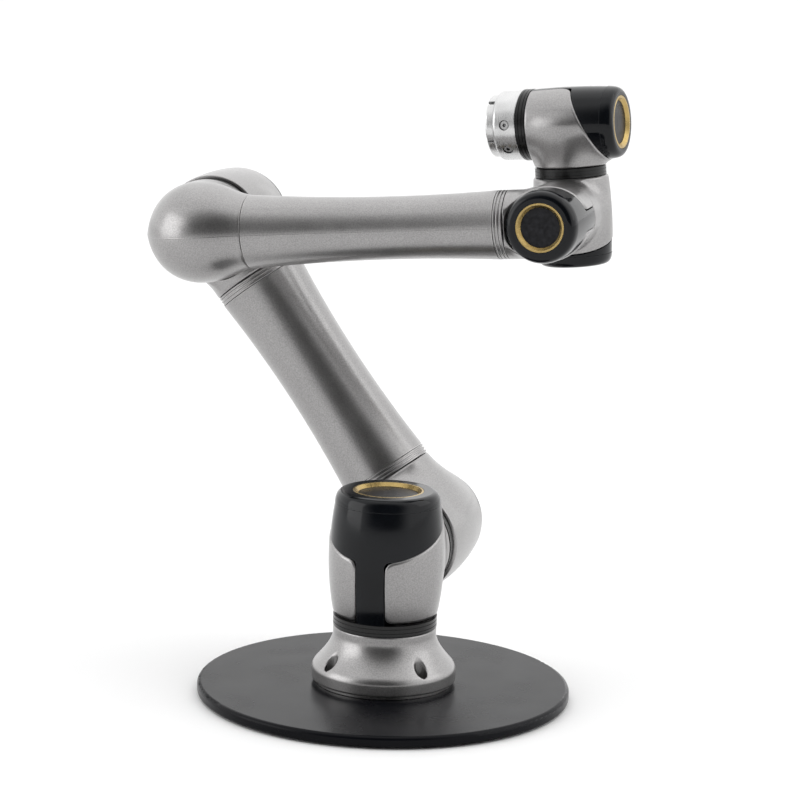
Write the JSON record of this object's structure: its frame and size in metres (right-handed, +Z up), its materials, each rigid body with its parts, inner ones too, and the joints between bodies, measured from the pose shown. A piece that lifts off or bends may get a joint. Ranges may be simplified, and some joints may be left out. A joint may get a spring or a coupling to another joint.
{
  "type": "desktop robot arm",
  "caption": "Posable desktop replica of a collaborative robot arm on a round plate: silver tubes and joint housings, gloss black covers and caps, gold trim rings, tool flange.",
  "frame": {"origin": "centre of the face of the foot pad that rests on the desk", "axes": "+Z up; the arm reaches and folds in the XZ plane, the shoulder, elbow and first wrist axes run along Y, and +Y is the side the shoulder housing is on"},
  "size_m": [0.1584, 0.125, 0.2039],
  "materials": {
    "silver_paint": "satin",
    "gloss_black": "gloss",
    "gold_trim": "satin",
    "cap_disc": "satin",
    "swivel_ring": "satin",
    "plate_black": "satin",
    "pad_rubber": "matte",
    "bright_flange": "polished",
    "steel": "satin",
    "washer": "matte"
  },
  "bodies": {
    "base": {"foot_pad": "pad_rubber", "base_plate": "plate_black", "pedestal": "silver_paint", "pedestal_screws": "steel", "friction_washer_1": "washer"},
    "turret": {"turret_ring": "swivel_ring", "turret_housing": "silver_paint", "turret_cover": "gloss_black", "turret_cap": "gloss_black", "turret_trim_ring": "gold_trim", "turret_cap_disc": "cap_disc", "pivot_screw_1": "steel", "friction_washer_2": "washer"},
    "upper_arm": {"shoulder_ring": "swivel_ring", "shoulder_housing": "silver_paint", "shoulder_cap": "gloss_black", "shoulder_trim_ring": "gold_trim", "shoulder_cap_disc": "cap_disc", "pivot_screw_2": "steel", "lower_collar": "silver_paint", "upper_arm_tube": "silver_paint", "upper_collar": "silver_paint", "elbow_rear_housing": "silver_paint", "elbow_rear_cap": "gloss_black", "elbow_rear_trim_ring": "gold_trim", "elbow_rear_cap_disc": "cap_disc", "friction_washer_3": "washer"},
    "forearm": {"elbow_ring": "swivel_ring", "elbow_front_housing": "silver_paint", "forearm_tube": "silver_paint", "forearm_collar": "silver_paint", "pivot_screw_3": "steel", "wrist_1_housing": "silver_paint", "wrist_1_cover": "gloss_black", "wrist_1_cap": "gloss_black", "wrist_1_trim_ring": "gold_trim", "wrist_1_cap_disc": "cap_disc", "friction_washer_4": "washer"},
    "wrist_2": {"wrist_2_housing": "silver_paint", "wrist_2_cover": "gloss_black", "wrist_2_cap": "gloss_black", "wrist_2_trim_ring": "gold_trim", "wrist_2_cap_disc": "cap_disc", "pivot_screw_4": "steel", "friction_washer_5": "washer"},
    "wrist_3": {"wrist_2_ring": "swivel_ring", "wrist_3_housing": "silver_paint", "wrist_3_cover": "gloss_black", "wrist_3_cap": "gloss_black", "wrist_3_trim_ring": "gold_trim", "wrist_3_cap_disc": "cap_disc", "wrist_3_ring": "swivel_ring", "pivot_screw_5": "steel", "friction_washer_6": "washer"},
    "tool": {"tool_flange": "bright_flange", "flange_screws": "steel", "pivot_screw_6": "steel"}
  },
  "joints": [
    {"name": "base_swivel", "type": "hinge", "parent": "base", "child": "turret", "pos_m": [0, 0, 0.024], "axis": [0, 0, 1], "range_deg": [-175, 175]},
    {"name": "shoulder", "type": "hinge", "parent": "turret", "child": "upper_arm", "pos_m": [0, 0, 0.048], "axis": [0, 1, 0], "range_deg": [-50, 60]},
    {"name": "elbow", "type": "hinge", "parent": "upper_arm", "child": "forearm", "pos_m": [-0.07495, 0, 0.14929], "axis": [0, -1, 0], "range_deg": [-18, 261]},
    {"name": "wrist_1", "type": "hinge", "parent": "forearm", "child": "wrist_2", "pos_m": [0.0479, 0, 0.1609], "axis": [0, 1, 0], "range_deg": [-175, 175]},
    {"name": "wrist_2", "type": "hinge", "parent": "wrist_2", "child": "wrist_3", "pos_m": [0.0479, 0.047, 0.1609], "axis": [-0.0941, 0, 0.9956], "range_deg": [-175, 175]},
    {"name": "wrist_3", "type": "hinge", "parent": "wrist_3", "child": "tool", "pos_m": [0.04512, 0.047, 0.19037], "axis": [-0.9918, 0.0872, -0.0938], "range_deg": [-175, 175]}
  ]
}
